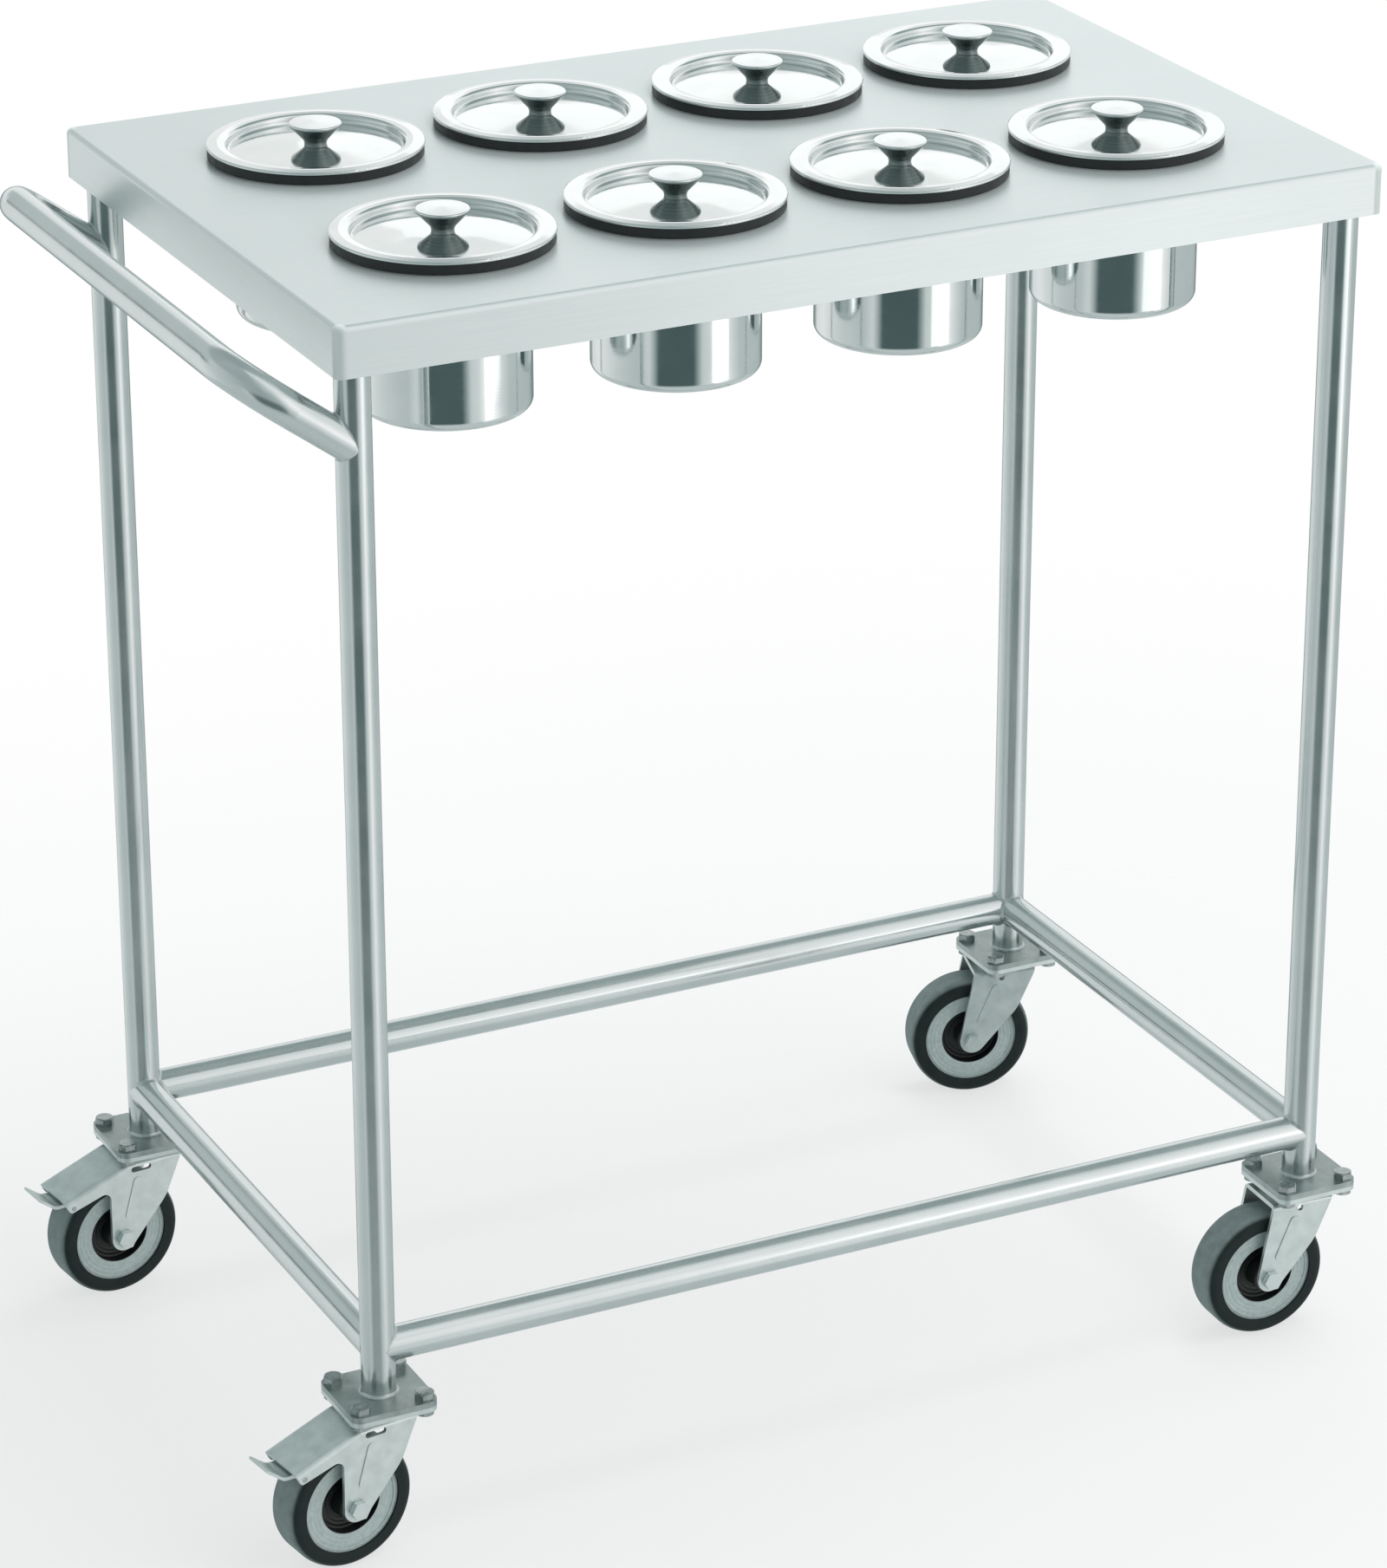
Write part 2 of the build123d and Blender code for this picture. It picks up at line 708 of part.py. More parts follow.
os.makedirs("parts", exist_ok=True)
for name, solids in nodes.items():
    placed = [to_origin * solid for solid in solids]
    export_step(placed[0] if len(placed) == 1 else Compound(children=placed), f"parts/{name}.step")
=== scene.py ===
import json
import math

import bmesh
import bpy
from mathutils import Matrix, Vector


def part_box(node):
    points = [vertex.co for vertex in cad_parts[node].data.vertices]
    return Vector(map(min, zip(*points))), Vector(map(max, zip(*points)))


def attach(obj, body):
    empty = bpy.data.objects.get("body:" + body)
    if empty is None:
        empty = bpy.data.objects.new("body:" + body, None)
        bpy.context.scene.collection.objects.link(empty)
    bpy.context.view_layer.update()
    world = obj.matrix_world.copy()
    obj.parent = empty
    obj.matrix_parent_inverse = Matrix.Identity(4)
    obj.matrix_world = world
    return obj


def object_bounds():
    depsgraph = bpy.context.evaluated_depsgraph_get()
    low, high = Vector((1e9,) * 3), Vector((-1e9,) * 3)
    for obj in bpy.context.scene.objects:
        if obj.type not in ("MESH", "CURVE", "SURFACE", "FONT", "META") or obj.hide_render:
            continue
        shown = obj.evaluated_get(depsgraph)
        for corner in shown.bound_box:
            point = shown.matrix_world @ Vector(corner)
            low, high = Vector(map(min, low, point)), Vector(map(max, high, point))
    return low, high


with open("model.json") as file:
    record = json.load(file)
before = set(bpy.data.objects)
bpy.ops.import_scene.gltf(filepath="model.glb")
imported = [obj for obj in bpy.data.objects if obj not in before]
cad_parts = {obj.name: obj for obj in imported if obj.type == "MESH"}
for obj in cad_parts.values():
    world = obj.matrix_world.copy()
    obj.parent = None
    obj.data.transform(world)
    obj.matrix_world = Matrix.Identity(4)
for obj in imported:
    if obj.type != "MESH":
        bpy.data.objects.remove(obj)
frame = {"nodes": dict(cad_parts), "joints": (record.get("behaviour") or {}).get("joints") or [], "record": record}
cad_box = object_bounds()
nodes = frame["nodes"]
joints = {joint["name"]: joint for joint in frame["joints"]}
slot_of = {part["node"]: part["material_slot"] for part in frame["record"]["subparts"]}


def middle_of(node):
    low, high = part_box(node)
    return (low + high) / 2


# Places that the looks need, read from the frame, in metres

panel_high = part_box("top_panel")[1]
table_middle = middle_of("top_panel")
corner_names = sorted(name.removeprefix("fork_") for name in nodes if name.startswith("fork_"))
first_lid = middle_of("lid_front_1")
pot_pitch_x = middle_of("lid_front_2").x - first_lid.x
pot_pitch_y = middle_of("lid_rear_1").y - first_lid.y
pot_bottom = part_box("pot_front_1")[0].z
knob_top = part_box("lid_knob_front_1")[1].z
leg_low, leg_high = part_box("leg_front_left")
tube_radius = (leg_high.x - leg_low.x) / 2
footprint = (cad_box[1] - cad_box[0]) / 2
straight_up = Vector((0, 0, 1))


# Camera, at the photograph's place

camera_yaw = math.radians(26.170)
camera_pitch = math.radians(23.391)
camera_roll = math.radians(-0.093)
camera_to_left = 1.74365
camera_to_front = 3.50784
camera_height = 2.12485
focal_pixels = 6607.5
picture_height = 1809
sensor_size = 36
camera_reach = 50

forward = Vector((
    math.sin(camera_yaw) * math.cos(camera_pitch),
    math.cos(camera_yaw) * math.cos(camera_pitch),
    -math.sin(camera_pitch),
))
level_right = Vector((math.cos(camera_yaw), -math.sin(camera_yaw), 0))
level_up = level_right.cross(forward)
right = level_right * math.cos(camera_roll) + level_up * math.sin(camera_roll)
up = level_up * math.cos(camera_roll) - level_right * math.sin(camera_roll)


def add_camera():
    camera_data = bpy.data.cameras.new("camera")
    camera_data.sensor_width = sensor_size
    camera_data.lens = focal_pixels * sensor_size / picture_height
    camera_data.clip_end = camera_reach
    camera = bpy.data.objects.new("camera", camera_data)
    bpy.context.scene.collection.objects.link(camera)
    place = Vector((table_middle.x - camera_to_left, table_middle.y - camera_to_front, camera_height))
    rotation = Matrix((right, up, -forward)).transposed()
    camera.matrix_world = Matrix.Translation(place) @ rotation.to_4x4()
    bpy.context.scene.camera = camera


add_camera()


# Node graphs


class Graph:
    """Adds nodes to a tree. An input value may be a plain value or another node's output."""

    def __init__(self, tree):
        self.tree = tree
        tree.nodes.clear()

    def add(self, kind, inputs=None, **settings):
        made = self.tree.nodes.new(kind)
        for name, value in settings.items():
            setattr(made, name, value)
        for name, value in (inputs or {}).items():
            self.give(made.inputs[name], value)
        return made

    def give(self, socket, value):
        """Links a socket to another node's output, or sets it to a plain value."""
        if isinstance(value, bpy.types.NodeSocket):
            self.tree.links.new(value, socket)
        else:
            socket.default_value = value

    def math(self, operation, *values):
        return self.add("ShaderNodeMath", dict(enumerate(values)), operation=operation).outputs[0]

    def plus(self, first, second):
        return self.math("ADD", first, second)

    def minus(self, first, second):
        return self.math("SUBTRACT", first, second)

    def times(self, first, second):
        return self.math("MULTIPLY", first, second)

    def larger(self, first, second):
        return self.math("MAXIMUM", first, second)

    def absolute(self, value):
        return self.math("ABSOLUTE", value)

    def length(self, first, second):
        """The length of a line with these two offsets."""
        return self.math("SQRT", self.plus(self.math("POWER", first, 2.0), self.math("POWER", second, 2.0)))

    def vector(self, operation, *values):
        return self.add("ShaderNodeVectorMath", dict(enumerate(values)), operation=operation).outputs

    def dot(self, vector, constant):
        return self.vector("DOT_PRODUCT", vector, tuple(constant))["Value"]

    def cross(self, first, second):
        return self.vector("CROSS_PRODUCT", first, second)["Vector"]

    def axes(self, vector):
        return self.add("ShaderNodeSeparateXYZ", {0: vector}).outputs

    def place(self):
        return self.add("ShaderNodeTexCoord").outputs["Object"]

    def span(self, value, low, high, to_low=0.0, to_high=1.0):
        """A smooth change from one value to another, while the input goes from low to high."""
        inputs = {"Value": value, "From Min": low, "From Max": high, "To Min": to_low, "To Max": to_high}
        return self.add("ShaderNodeMapRange", inputs, interpolation_type="SMOOTHSTEP").outputs[0]

    def window(self, value, start, rise, fall, finish):
        """One between rise and fall, and nothing before start and after finish."""
        return self.times(self.span(value, start, rise), self.span(value, finish, fall))

    def between(self, mask, off, on):
        """A value that goes from off to on with a mask."""
        return self.span(mask, 0.0, 1.0, off, on)

    def spread(self, noise, low, high, edge=0.3):
        """The middle of a noise's range, from edge to one less edge, spread between two values."""
        return self.span(noise, edge, 1 - edge, low, high)

    def tint(self, noise, dark, light, edge=0.3):
        """A colour between two, by the middle of a noise's range."""
        return self.ramp(noise, [(edge, dark), (1 - edge, light)])

    def ramp(self, value, stops):
        made = self.add("ShaderNodeValToRGB", {"Fac": value})
        elements = made.color_ramp.elements
        while len(elements) < len(stops):
            elements.new(0.5)
        for element, (place, colour) in zip(elements, stops):
            element.position = place
            element.color = (*colour, 1)
        return made.outputs["Color"]

    def mix(self, factor, first, second):
        made = self.add("ShaderNodeMix", {"Factor": factor}, data_type="RGBA")
        sockets = [socket for socket in made.inputs if socket.type == "RGBA"]
        for socket, value in zip(sockets, (first, second)):
            self.give(socket, (*value, 1) if isinstance(value, tuple) else value)
        return next(socket for socket in made.outputs if socket.type == "RGBA")

    def noise(self, vector, scale, detail, stretch=None):
        if stretch:
            vector = self.add("ShaderNodeMapping", {"Vector": vector, "Scale": stretch}).outputs[0]
        inputs = {"Vector": vector, "Scale": scale, "Detail": detail}
        return self.add("ShaderNodeTexNoise", inputs).outputs["Fac"]


def surface(name, **sockets):
    """A material with one Principled shader. Its plain sockets are set by name."""
    material = bpy.data.materials.new(name)
    material.use_nodes = True
    graph = Graph(material.node_tree)
    shader = graph.add("ShaderNodeBsdfPrincipled", sockets)
    graph.add("ShaderNodeOutputMaterial", {"Surface": shader.outputs["BSDF"]})
    return material, graph, shader


def finish_surface(graph, shader, colour, roughness, relief, depth):
    """Joins a colour, a roughness and a relief pattern, with its depth in metres, to a shader."""
    bump = graph.add("ShaderNodeBump", {"Height": relief, "Strength": 1.0, "Distance": depth})
    graph.give(shader.inputs["Base Color"], colour)
    graph.give(shader.inputs["Roughness"], roughness)
    graph.give(shader.inputs["Normal"], bump.outputs["Normal"])


# Materials, with lengths in metres

micron = 0.000001
corner_zone = 0.009
corner_blend = 0.003
pot_radius = 0.060
pot_base_radius = 0.007
pot_wall = 0.001
# Drops below the knob's top where the painted dark reflection on its side begins
knob_side_drop = 0.0032
knob_top_drop = 0.0018
hub_black_radius = 0.0236
hub_grey_radius = 0.0242
hub_ring_pitch = 0.0032
tyre_wall_radius = 0.0470
tyre_tread_radius = 0.0497


def dressed_and_painted_light_corners(graph, place):
    """A mask of the sheet's four upright corners, where the sheet is matt and partly painted light."""
    axes = graph.axes(place)
    past = []
    for axis, edge, middle in (("X", panel_high.x, table_middle.x), ("Y", panel_high.y, table_middle.y)):
        offset = graph.absolute(graph.minus(axes[axis], middle))
        past.append(graph.minus(offset, edge - middle - corner_zone))
    return graph.span(graph.math("MINIMUM", *past), 0.0, corner_blend)


def brushed_tint(graph, lines):
    return graph.tint(lines, (0.66, 0.72, 0.715), (0.84, 0.88, 0.875), edge=0.25)


def make_satin_sheet():
    """Brushed sheet: fine lines along each face, slow cloudy changes, and matt corners dressed by hand whose
    lighter colour is partly a painted highlight.
    """
    material, graph, shader = surface("satin_sheet", Anisotropic=0.6)
    place = graph.place()
    normal = graph.add("ShaderNodeNewGeometry").outputs["Normal"]
    end_face = graph.span(graph.absolute(graph.dot(normal, (1, 0, 0))), 0.6, 0.8)
    along_x = graph.noise(place, scale=40.0, detail=4.0, stretch=(0.35, 22.0, 22.0))
    along_y = graph.noise(place, scale=40.0, detail=4.0, stretch=(22.0, 0.35, 22.0))
    lines = graph.mix(end_face, brushed_tint(graph, along_x), brushed_tint(graph, along_y))
    clouds = graph.noise(place, scale=5.0, detail=4.0)
    shade = graph.tint(clouds, (0.72, 0.78, 0.775), (0.77, 0.825, 0.82))
    dressed_and_painted_light = dressed_and_painted_light_corners(graph, place)
    # Painted highlight: the corners get a lighter, less metallic colour, partly a matt dressed finish and partly
    # painted light that hides a dark reflection line.
    tint = graph.mix(dressed_and_painted_light, graph.mix(0.25, shade, lines), (0.79, 0.84, 0.835))
    rough = graph.plus(graph.spread(lines, 0.29, 0.35), graph.spread(clouds, -0.02, 0.03))
    rough = graph.plus(rough, graph.between(dressed_and_painted_light, 0.0, 0.22))
    grain = graph.mix(end_face, (1, 0, 0), (0, 1, 0))
    graph.give(shader.inputs["Tangent"], graph.cross(normal, grain))
    graph.give(shader.inputs["Metallic"], graph.between(dressed_and_painted_light, 0.7, 0.25))
    finish_surface(graph, shader, tint, rough, lines, 20 * micron)
    return material


def make_polished_tube():
    """Polished tube: near mirror, with faint polishing rings and small smudges."""
    material, graph, shader = surface("polished_tube", Metallic=0.9)
    place = graph.place()
    smudge = graph.noise(place, scale=22.0, detail=5.0)
    rings = graph.noise(place, scale=60.0, detail=3.0, stretch=(2.0, 2.0, 14.0))
    tint = graph.tint(smudge, (0.64, 0.695, 0.69), (0.70, 0.75, 0.742))
    rough = graph.plus(graph.spread(smudge, 0.17, 0.23, edge=0.35), graph.spread(rings, -0.01, 0.01))
    finish_surface(graph, shader, tint, rough, rings, 2 * micron)
    return material


def nearest_pot(graph, place):
    """Offsets from the axis of the nearest pot, and the height."""
    axes = graph.axes(place)
    x = graph.math("WRAP", graph.minus(axes["X"], first_lid.x), pot_pitch_x / 2, -pot_pitch_x / 2)
    y = graph.math("WRAP", graph.minus(axes["Y"], first_lid.y), pot_pitch_y / 2, -pot_pitch_y / 2)
    return x, y, axes["Z"]


def make_bright_pot():
    """Mirror polished pot with faint drawn lines round it, and a satin inside."""
    material, graph, shader = surface("bright_pot")
    place = graph.place()
    x, y, height = nearest_pot(graph, place)
    past_side = graph.minus(graph.length(x, y), pot_radius - pot_base_radius)
    past_base = graph.minus(pot_bottom + pot_base_radius, height)
    depth = graph.length(graph.larger(past_side, 0.0), graph.larger(past_base, 0.0))
    outside = graph.span(depth, pot_base_radius - 0.7 * pot_wall, pot_base_radius - 0.3 * pot_wall)
    smudge = graph.noise(place, scale=30.0, detail=4.0)
    drawn = graph.noise(place, scale=90.0, detail=2.0, stretch=(0.2, 0.2, 9.0))
    tint = graph.tint(smudge, (0.71, 0.755, 0.75), (0.77, 0.81, 0.803))
    rough = graph.plus(graph.spread(smudge, 0.05, 0.10, edge=0.35), graph.spread(drawn, 0.0, 0.04))
    rough = graph.plus(rough, graph.between(outside, 0.25, 0.0))
    graph.give(shader.inputs["Metallic"], graph.between(outside, 0.7, 1.0))
    finish_surface(graph, shader, tint, rough, drawn, 10 * micron)
    return material


def spun_rings(graph, place):
    """Fine rings about each pot's axis."""
    x, y, height = nearest_pot(graph, place)
    ring_place = graph.add("ShaderNodeCombineXYZ", {"X": graph.length(x, y), "Z": height}).outputs[0]
    return graph.noise(ring_place, scale=700.0, detail=2.0)


def make_bright_lid():
    """Mirror polished spun sheet, with faint rings and smudges."""
    material, graph, shader = surface("bright_lid", Metallic=1.0)
    place = graph.place()
    rings = spun_rings(graph, place)
    smudge = graph.noise(place, scale=35.0, detail=4.0)
    tint = graph.tint(smudge, (0.70, 0.745, 0.74), (0.76, 0.80, 0.793))
    rough = graph.plus(graph.spread(smudge, 0.05, 0.10, edge=0.35), graph.spread(rings, 0.0, 0.03))
    finish_surface(graph, shader, tint, rough, rings, 6 * micron)
    return material


def make_bright_knob():
    """Turned knob: a polished top, and a darker side whose dark colour is a painted reflection of dark
    surroundings.
    """
    material, graph, shader = surface("bright_knob", Metallic=1.0)
    place = graph.place()
    rings = spun_rings(graph, place)
    smudge = graph.noise(place, scale=60.0, detail=4.0)
    polished = graph.tint(smudge, (0.70, 0.75, 0.745), (0.78, 0.82, 0.815))
    # Painted reflection: the side below the top gets a dark colour that stands in for the dark surroundings it
    # reflects.
    side_painted_dark = graph.tint(rings, (0.19, 0.22, 0.215), (0.30, 0.34, 0.335))
    on_top = graph.span(graph.axes(place)["Z"], knob_top - knob_side_drop, knob_top - knob_top_drop)
    tint = graph.mix(on_top, side_painted_dark, polished)
    rough = graph.plus(graph.spread(smudge, 0.14, 0.20, edge=0.35), graph.spread(rings, 0.0, 0.04))
    finish_surface(graph, shader, tint, rough, rings, 20 * micron)
    return material


def make_ground_weld():
    """Weld metal ground back to a dull grey."""
    material, graph, shader = surface("ground_weld", Metallic=1.0)
    patches = graph.noise(graph.place(), scale=240.0, detail=4.0)
    tint = graph.tint(patches, (0.46, 0.51, 0.505), (0.62, 0.67, 0.662))
    finish_surface(graph, shader, tint, graph.spread(patches, 0.30, 0.44), patches, 60 * micron)
    return material


def make_zinc_plate():
    """Zinc plated pressed steel: patchy satin grey."""
    material, graph, shader = surface("zinc_plate", Metallic=0.7)
    place = graph.place()
    patches = graph.noise(place, scale=90.0, detail=5.0)
    grain = graph.noise(place, scale=700.0, detail=3.0)
    tint = graph.tint(patches, (0.60, 0.67, 0.658), (0.74, 0.81, 0.797))
    rough = graph.plus(graph.spread(patches, 0.30, 0.36), graph.spread(grain, -0.01, 0.02))
    finish_surface(graph, shader, tint, rough, grain, 3 * micron)
    return material


def make_plate_painted_dark():
    """Dark, mottled grey plate: the darkness is painted shade and painted dark reflections of the plate stack."""
    material, graph, shader = surface("plate_painted_dark", Metallic=1.0)
    place = graph.place()
    patches = graph.noise(place, scale=70.0, detail=5.0)
    grain = graph.noise(place, scale=500.0, detail=3.0)
    # Painted shade: this dark grey stands in for the shade and dark reflections on the foot plates.
    tint = graph.tint(patches, (0.28, 0.335, 0.325), (0.46, 0.52, 0.51))
    rough = graph.plus(graph.spread(patches, 0.30, 0.42), graph.spread(grain, -0.03, 0.04))
    finish_surface(graph, shader, tint, rough, grain, 40 * micron)
    return material


def make_bright_fastener():
    """Bright plated bolts, nuts and pins with light tool marks."""
    material, graph, shader = surface("bright_fastener", Metallic=1.0)
    patches = graph.noise(graph.place(), scale=260.0, detail=4.0)
    tint = graph.tint(patches, (0.26, 0.30, 0.295), (0.46, 0.51, 0.50))
    finish_surface(graph, shader, tint, graph.spread(patches, 0.16, 0.28), patches, 20 * micron)
    return material


def wheel_radius_at(graph, place, corner):
    """Distance from the axle line of the wheel at a corner."""
    joint = joints[f"roll_{corner}"]
    offset = graph.vector("SUBTRACT", place, tuple(joint["pos_m"]))["Vector"]
    return graph.vector("LENGTH", graph.cross(offset, tuple(joint["axis"])))["Value"]


def make_hub_plastic(corner):
    """Grey moulded wheel centre with moulding rings, and a black middle."""
    material, graph, shader = surface(f"hub_plastic_{corner}")
    place = graph.place()
    radius = wheel_radius_at(graph, place, corner)
    speckle = graph.noise(place, scale=300.0, detail=4.0)
    pale = graph.tint(speckle, (0.48, 0.57, 0.555), (0.60, 0.69, 0.675))
    black = graph.tint(speckle, (0.008, 0.010, 0.010), (0.018, 0.021, 0.021))
    tint = graph.mix(graph.span(radius, hub_black_radius, hub_grey_radius), black, pale)
    waves = graph.math("SINE", graph.times(radius, 2 * math.pi / hub_ring_pitch))
    finish_surface(graph, shader, tint, graph.spread(speckle, 0.38, 0.50), waves, 120 * micron)
    return material


def make_tyre_rubber(corner):
    """Dark grey rubber, dusty and paler on the tread, with fine grain."""
    material, graph, shader = surface(f"tyre_rubber_{corner}", **{"Specular IOR Level": 0.25})
    place = graph.place()
    radius = wheel_radius_at(graph, place, corner)
    dust = graph.noise(place, scale=120.0, detail=5.0)
    grain = graph.noise(place, scale=1500.0, detail=3.0)
    wall = graph.tint(dust, (0.010, 0.017, 0.017), (0.020, 0.031, 0.030))
    tread = graph.tint(dust, (0.190, 0.240, 0.238), (0.270, 0.330, 0.326))
    tint = graph.mix(graph.span(radius, tyre_wall_radius, tyre_tread_radius), wall, tread)
    finish_surface(graph, shader, tint, graph.spread(dust, 0.52, 0.70), grain, 60 * micron)
    return material


def make_black_ring():
    """Semi-matt black with a fine grain, for the band under each lid."""
    material, graph, shader = surface("black_ring")
    place = graph.place()
    dust = graph.noise(place, scale=160.0, detail=4.0)
    grain = graph.noise(place, scale=1800.0, detail=2.0)
    tint = graph.tint(dust, (0.007, 0.009, 0.009), (0.016, 0.019, 0.018))
    finish_surface(graph, shader, tint, graph.spread(dust, 0.40, 0.55), grain, 40 * micron)
    return material


materials = {
    "satin_sheet": make_satin_sheet(),
    "polished_tube": make_polished_tube(),
    "bright_pot": make_bright_pot(),
    "bright_lid": make_bright_lid(),
    "bright_knob": make_bright_knob(),
    "zinc_plate": make_zinc_plate(),
    "bright_fastener": make_bright_fastener(),
    "black_ring": make_black_ring(),
}
node_materials = {"foot_plates": make_plate_painted_dark()}
for corner in corner_names:
    node_materials[f"wheel_hub_{corner}"] = make_hub_plastic(corner)
    node_materials[f"tyre_{corner}"] = make_tyre_rubber(corner)
    node_materials[f"axle_{corner}"] = materials["zinc_plate"]
for name, node in nodes.items():
    node.data.materials.clear()
    node.data.materials.append(node_materials.get(name) or materials[slot_of[name]])


# Weld fillets where the tubes meet each other and the foot plates

weld_leg = 0.0030
weld_sink = 0.0002
weld_root_sink = 0.0008
weld_stations = 40
weld_arc_steps = 6
least_slope = 0.2
handle_joint_drop = 0.092
weld_material = make_ground_weld()


class Tube:
    """A round tube's outer surface, about a line through a point."""

    def __init__(self, point, axis):
        self.point = Vector(point)
        self.axis = Vector(axis).normalized()

    def outward(self, place):
        offset = place - self.point
        return (offset - self.axis * offset.dot(self.axis)).normalized()

    def settle(self, place):
        """A place moved to just under the surface."""
        along = self.axis * (place - self.point).dot(self.axis)
        return self.point + along + self.outward(place) * (tube_radius - weld_sink)


class Plate:
    """A level plate's upper surface."""

    def __init__(self, height):
        self.height = height

    def outward(self, place):
        return straight_up

    def settle(self, place):
        """A place moved to just under the surface."""
        return Vector((place.x, place.y, self.height - weld_sink))


def weld_section(corner, first, second):
    """Points round a hollow fillet in the corner between two surfaces, and how open the corner is."""
    normal_1 = first.outward(corner)
    normal_2 = second.outward(corner)
    lean = normal_1.dot(normal_2)
    slope = math.sqrt(max(0.0, 1 - lean * lean))
    reach = weld_leg * slope
    along_1 = (normal_2 - normal_1 * lean).normalized()
    along_2 = (normal_1 - normal_2 * lean).normalized()
    start = first.settle(corner + along_1 * reach)
    finish = second.settle(corner + along_2 * reach)
    root = corner - (normal_1 + normal_2).normalized() * weld_root_sink
    points = []
    for step in range(weld_arc_steps + 1):
        share = step / weld_arc_steps
        points.append(start * (1 - share) ** 2 + corner * 2 * share * (1 - share) + finish * share ** 2)
    return points + [root], slope


def weld(name, corners, first, second, closed):
    """Lays a fillet along a line of corner points. An open one stops where the corner flattens out."""
    sections = [weld_section(corner, first, second) for corner in corners]
    rings = [points for points, slope in sections if slope > least_slope]
    shape = bmesh.new()
    loops = [[shape.verts.new(point) for point in ring] for ring in rings]
    count = len(loops[0])
    pairs = list(zip(loops, loops[1:]))
    if closed:
        pairs.append((loops[-1], loops[0]))
    else:
        shape.faces.new(loops[0])
        shape.faces.new(loops[-1][::-1])
    for one, other in pairs:
        for i in range(count):
            j = (i + 1) % count
            shape.faces.new((one[i], one[j], other[j], other[i]))
    bmesh.ops.recalc_face_normals(shape, faces=shape.faces)
    for face in shape.faces:
        face.smooth = True
    mesh = bpy.data.meshes.new(name)
    shape.to_mesh(mesh)
    shape.free()
    mesh.materials.append(weld_material)
    piece = bpy.data.objects.new(name, mesh)
    bpy.context.scene.collection.objects.link(piece)
    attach(piece, "frame")


def half_turn(start):
    """Angles of a weld's stations over half a turn."""
    return [math.radians(start + 180 * i / weld_stations) for i in range(weld_stations + 1)]


def saddle_point(joint, direction, angle):
    """A point where a tube from a leg's middle line leaves the leg, at an angle round the tube."""
    level = Vector((direction.x, direction.y, 0)).normalized()
    side = straight_up.cross(level)
    rise = direction.cross(side)
    ring = (side * math.cos(angle) + rise * math.sin(angle)) * tube_radius
    out = math.sqrt(max(0.0, tube_radius ** 2 - ring.dot(side) ** 2))
    run = (out - ring.dot(level)) / direction.dot(level)
    return joint + direction * run + ring


def weld_branch(name, joint, direction):
    """The weld round a tube that meets a leg, over and under it."""
    leg = Tube(joint, straight_up)
    branch = Tube(joint, direction)
    for place, start in (("over", 0), ("under", 180)):
        corners = [saddle_point(joint, branch.axis, angle) for angle in half_turn(start)]
        weld(f"weld_{name}_{place}", corners, leg, branch, closed=False)


def weld_leg_joints(corner):
    """All welds of one leg: both stretchers, the mitre between them, the foot and the handle."""
    middle = middle_of(f"leg_{corner}")
    side, end = corner.split("_")
    into_x = Vector((1 if end == "left" else -1, 0, 0))
    into_y = Vector((0, 1 if side == "front" else -1, 0))
    joint = Vector((middle.x, middle.y, middle_of(f"{side}_stretcher").z))
    weld_branch(f"{corner}_long", joint, into_x)
    weld_branch(f"{corner}_short", joint, into_y)

    mitre = []
    for angle in half_turn(-90):
        across = (into_x + into_y) * math.cos(angle)
        mitre.append(joint + (across + straight_up * math.sin(angle)) * tube_radius)
    weld(f"weld_{corner}_mitre", mitre, Tube(joint, into_x), Tube(joint, into_y), closed=False)

    plate_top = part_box(f"leg_{corner}")[0].z
    foot = Vector((middle.x, middle.y, plate_top))
    ring = []
    for angle in half_turn(0)[:-1] + half_turn(180)[:-1]:
        ring.append(foot + Vector((math.cos(angle), math.sin(angle), 0)) * tube_radius)
    weld(f"weld_{corner}_foot", ring, Tube(foot, straight_up), Plate(plate_top), closed=True)

    if end == "left":
        bar_low, bar_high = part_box("push_handle")
        handle_joint = Vector((middle.x, middle.y, panel_high.z - handle_joint_drop))
        bar = Vector((bar_low.x + tube_radius, middle.y, bar_high.z - tube_radius))
        weld_branch(f"{corner}_handle", handle_joint, bar - handle_joint)


for corner in corner_names:
    weld_leg_joints(corner)


# Floor

floor_fade = 1.35
floor_share = 0.35
floor_reach = 6.0
floor_grey = 0.86


def make_floor():
    """A pale floor that keeps the shadow and fades out, past the trolley, into the white surroundings."""
    mesh = bpy.data.meshes.new("floor")
    turns = [math.radians(angle) for angle in (90, 210, 330)]
    corners = [(floor_reach * math.cos(turn), floor_reach * math.sin(turn), 0) for turn in turns]
    mesh.from_pydata(corners, [], [(0, 1, 2)])
    floor = bpy.data.objects.new("floor", mesh)
    bpy.context.scene.collection.objects.link(floor)
    material = bpy.data.materials.new("floor")
    material.use_nodes = True
    graph = Graph(material.node_tree)
    axes = graph.axes(graph.place())
    past_x = graph.larger(graph.minus(graph.absolute(axes["X"]), footprint.x), 0.0)
    past_y = graph.larger(graph.minus(graph.absolute(axes["Y"]), footprint.y), 0.0)
    near = graph.span(graph.length(past_x, past_y), 0.0, floor_fade, floor_share, 0.0)
    pale = graph.add("ShaderNodeBsdfDiffuse", {"Color": (floor_grey, floor_grey, floor_grey, 1)})
    clear = graph.add("ShaderNodeBsdfTransparent")
    mixed = graph.add("ShaderNodeMixShader", {0: near, 1: clear.outputs[0], 2: pale.outputs[0]})
    graph.add("ShaderNodeOutputMaterial", {"Surface": mixed.outputs[0]})
    mesh.materials.append(material)


make_floor()


# Studio, with angles in degrees from the camera's side, positive to the right, and heights as sines

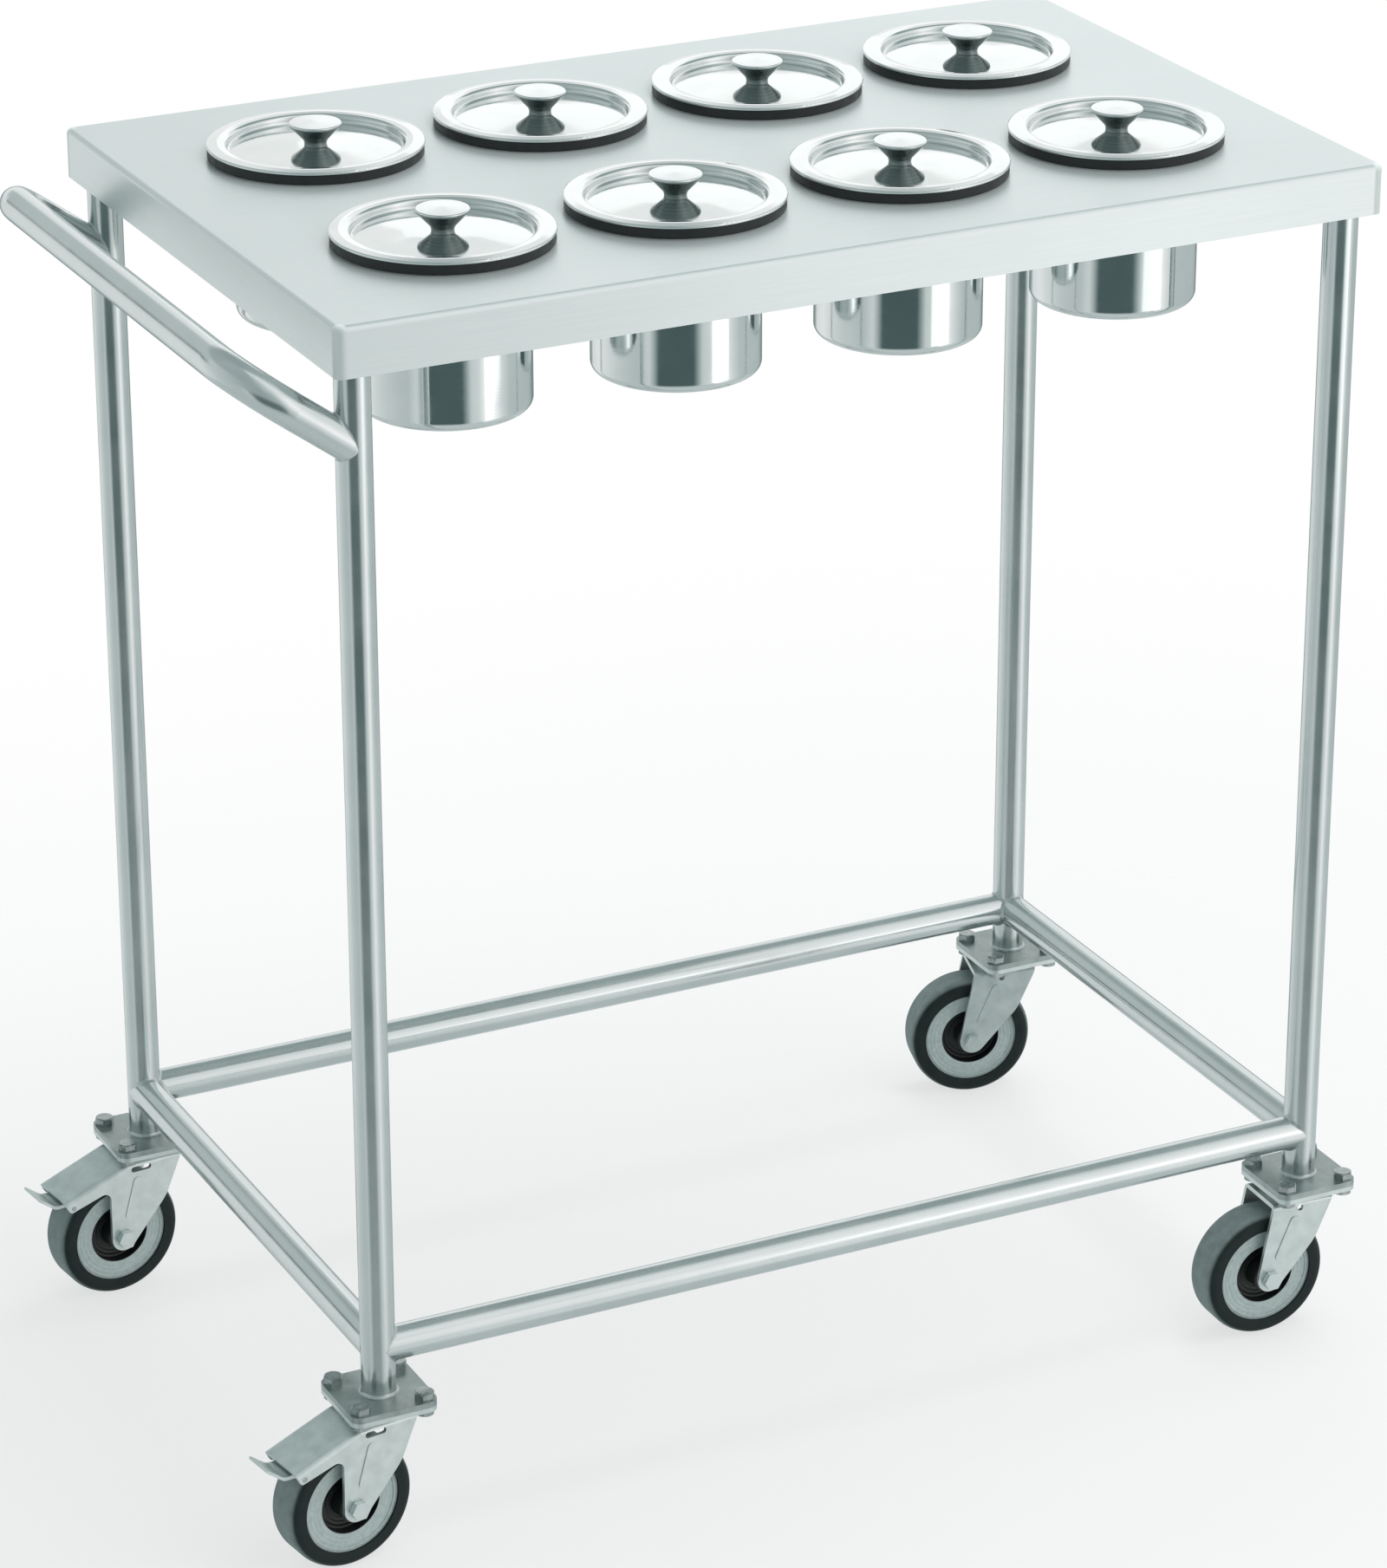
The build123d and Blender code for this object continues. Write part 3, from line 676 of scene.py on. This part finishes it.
low_greys = [
    (-180, 0.52), (-168, 0.30), (-158, 0.30), (-146, 0.84), (-125, 0.95), (-100, 0.80), (-80, 0.70),
    (-62, 0.64), (-48, 0.62), (-36, 0.78), (-28, 0.42), (-23, 0.12), (24, 0.12), (29, 0.34), (36, 0.72),
    (46, 0.80), (53, 1.02), (61, 1.28), (71, 1.02), (82, 0.80), (95, 0.62), (135, 0.58), (148, 0.52),
    (158, 0.28), (168, 0.28), (179, 0.52),
]
middle_greys = [
    (-180, 1.0), (-140, 1.0), (-110, 0.78), (-70, 0.66), (-30, 0.50), (0, 0.42), (30, 0.55),
    (48, 1.1), (62, 1.3), (78, 1.0), (110, 0.95), (145, 1.0), (179, 1.0),
]
high_greys = [
    (-180, 0.36), (-90, 0.50), (0, 0.45), (40, 0.80), (62, 1.1), (85, 0.85), (120, 0.45), (179, 0.36),
]
ground_grey = 0.62
shelf_grey = 0.12
panel_grey = 0.62
white = (1.0, 1.0, 1.0)

low_starts = (-0.62, -0.42)
middle_starts = (-0.14, 0.10)
high_starts = (0.46, 0.60)
shelf_heights = (0.09, 0.14, 0.22, 0.27)
shelf_angles = (-151.2, -144.0, -111.6, -100.8)
panel_starts = (0.20, 0.25)
panel_ends = (0.60, 0.46)
panel_angles = (-169.2, -158.4, -111.6, -100.8)
wall_cosines = (0.55, 0.80)
wall_heights = (-0.10, 0.05, 0.45, 0.58)


def studio_grey(level):
    """A grey of the studio's walls, cooler where it is darker."""
    return level ** 1.2, level, level


def share_of_turn(angle):
    """An angle as a share of the whole turn, which starts behind the trolley."""
    return angle / 360 + 0.5


def make_world():
    """A pale studio, with a dim ceiling, a bright strip on the right and a dark gap behind the camera.

    A dark shelf with a dim panel above it, behind on the left, gives the handle its streaks. The camera
    sees white everywhere, and glossy surfaces see a white wall behind the trolley, except at the panel.
    """
    world = bpy.data.worlds.new("studio")
    bpy.context.scene.world = world
    world.use_nodes = True
    graph = Graph(world.node_tree)
    direction = graph.add("ShaderNodeTexCoord").outputs["Generated"]
    height = graph.axes(direction)["Z"]
    toward = Vector((-forward.x, -forward.y, 0)).normalized()
    turn = graph.math("ARCTAN2", graph.dot(direction, level_right), graph.dot(direction, toward))
    share = graph.plus(graph.math("DIVIDE", turn, 2 * math.pi), 0.5)

    def ring(greys):
        return graph.ramp(share, [(share_of_turn(angle), studio_grey(level)) for angle, level in greys])

    def sector(angles):
        return graph.window(share, *[share_of_turn(angle) for angle in angles])

    around = graph.mix(graph.span(height, *low_starts), studio_grey(ground_grey), ring(low_greys))
    around = graph.mix(graph.span(height, *middle_starts), around, ring(middle_greys))
    around = graph.mix(graph.span(height, *high_starts), around, ring(high_greys))
    shelf = graph.times(graph.window(height, *shelf_heights), sector(shelf_angles))
    around = graph.mix(shelf, around, studio_grey(shelf_grey))
    panel = graph.times(graph.span(height, *panel_starts), sector(panel_angles))
    below_ceiling = graph.times(panel, graph.span(height, *panel_ends))
    around = graph.mix(below_ceiling, around, studio_grey(panel_grey))

    behind = graph.span(graph.dot(direction, -toward), *wall_cosines)
    wall = graph.times(behind, graph.window(height, *wall_heights))
    wall = graph.times(wall, graph.minus(1.0, panel))
    rays = graph.add("ShaderNodeLightPath").outputs
    seen = graph.larger(rays["Is Camera Ray"], rays["Is Transmission Ray"])
    seen = graph.larger(seen, graph.times(rays["Is Glossy Ray"], wall))
    colour = graph.mix(seen, around, white)
    background = graph.add("ShaderNodeBackground", {"Color": colour, "Strength": 1.0})
    graph.add("ShaderNodeOutputWorld", {"Surface": background.outputs[0]})


def add_lamp(name, place, target, size, power):
    lamp_data = bpy.data.lights.new(name, "AREA")
    lamp_data.shape = "RECTANGLE"
    lamp_data.size, lamp_data.size_y = size
    lamp_data.energy = power
    lamp = bpy.data.objects.new(name, lamp_data)
    bpy.context.scene.collection.objects.link(lamp)
    lamp.location = place
    aim = Vector(target) - Vector(place)
    lamp.rotation_euler = aim.to_track_quat("-Z", "Y").to_euler()
    return lamp


make_world()
overhead = add_lamp("overhead", place=(0.9, 0.1, 3.2), target=(0, 0, 0.6), size=(2.4, 1.8), power=48)
overhead.visible_glossy = False
add_lamp("back_soft_box", place=(1.25, 2.0, 1.63), target=(0.15, 0, 0.93), size=(1.4, 0.7), power=0.75)
add_lamp("front_soft_box", place=(1.0, -1.6, 0.42), target=(0.25, -0.25, 0.9), size=(0.8, 0.5), power=0.65)

bpy.context.scene.view_settings.view_transform = "Standard"
